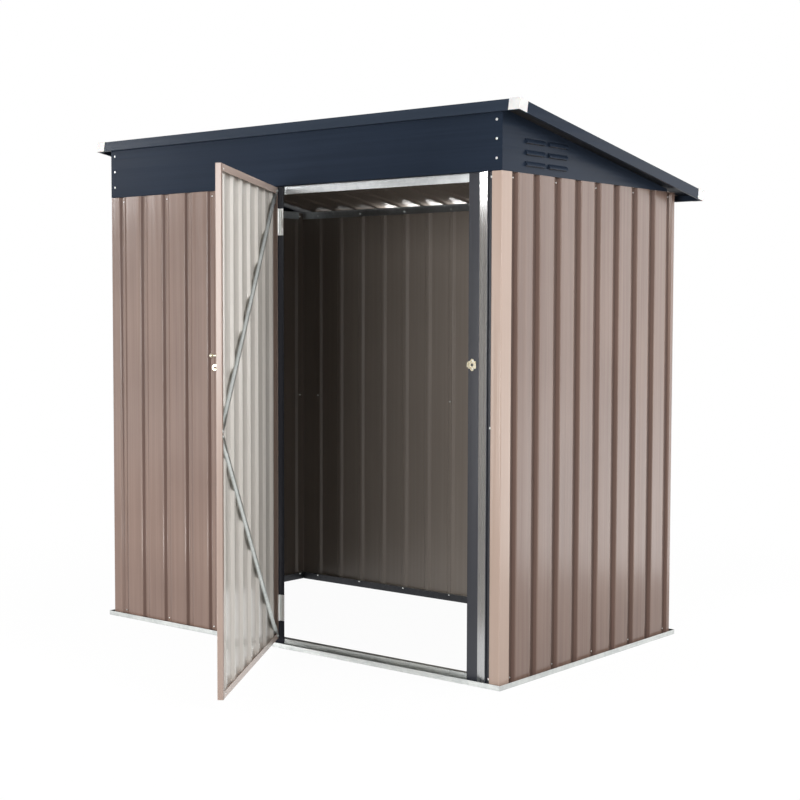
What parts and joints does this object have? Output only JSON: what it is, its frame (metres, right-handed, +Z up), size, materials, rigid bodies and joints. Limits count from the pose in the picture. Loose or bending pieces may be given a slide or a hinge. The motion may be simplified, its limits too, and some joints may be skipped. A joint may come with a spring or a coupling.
{
  "type": "metal storage shed",
  "caption": "Lean-to steel garden shed with ribbed walls, a dark sloping roof and one outward-opening braced door, standing open.",
  "frame": {"origin": "middle of the walls' outline at the level it stands on, the middle of the four anchor holes in the base rails", "axes": "+X to the right seen from the door side, +Y from the door side to the back, +Z up"},
  "size_m": [1.961, 1.8802, 1.8145],
  "materials": {
    "beige_paint": "gloss",
    "door_skin": "gloss outside, off-white backing coat inside",
    "slate_paint": "gloss",
    "galvanised_steel": "galvanised",
    "white_plastic": "satin",
    "plated_latch": "plated"
  },
  "bodies": {
    "shed": {"back_panel_left": "beige_paint", "back_panel_middle": "beige_paint", "back_panel_right": "beige_paint", "base_rail_back": "galvanised_steel", "base_rail_front": "galvanised_steel", "base_rail_left": "galvanised_steel", "base_rail_right": "galvanised_steel", "corner_back_left": "beige_paint", "corner_back_right": "beige_paint", "corner_front_left": "beige_paint", "corner_front_right": "beige_paint", "door_jamb_left": "slate_paint", "door_jamb_right": "slate_paint", "front_panel": "beige_paint", "gable_left": "slate_paint", "gable_right": "slate_paint", "header_panel": "slate_paint", "hinge_leaf_jamb_lower": "galvanised_steel", "hinge_leaf_jamb_upper": "galvanised_steel", "left_panel": "beige_paint", "right_panel": "beige_paint", "roof_cap_back_left": "white_plastic", "roof_cap_back_right": "white_plastic", "roof_cap_front_left": "white_plastic", "roof_cap_front_right": "white_plastic", "roof_panel_left": "slate_paint", "roof_panel_middle": "slate_paint", "roof_panel_right": "slate_paint", "roof_trim_back": "slate_paint", "roof_trim_front": "slate_paint", "roof_trim_left": "slate_paint", "roof_trim_right": "slate_paint", "strike_plate": "plated_latch", "top_rail_back": "galvanised_steel", "top_rail_front": "galvanised_steel", "top_rail_left": "galvanised_steel", "top_rail_right": "galvanised_steel"},
    "door": {"door_brace_lower": "galvanised_steel", "door_brace_upper": "galvanised_steel", "door_knob": "plated_latch", "door_panel": "door_skin", "door_rail_bottom": "beige_paint", "door_rail_top": "beige_paint", "door_stile_hinge": "beige_paint", "door_stile_latch": "beige_paint", "hinge_leaf_door_lower": "galvanised_steel", "hinge_leaf_door_upper": "galvanised_steel", "padlock_eye": "plated_latch"}
  },
  "joints": [
    {"name": "door_swing", "type": "hinge", "parent": "shed", "child": "door", "pos_m": [-0.036, -0.529, 0], "axis": [0, 0, 1], "range_deg": [-40, 57]}
  ]
}
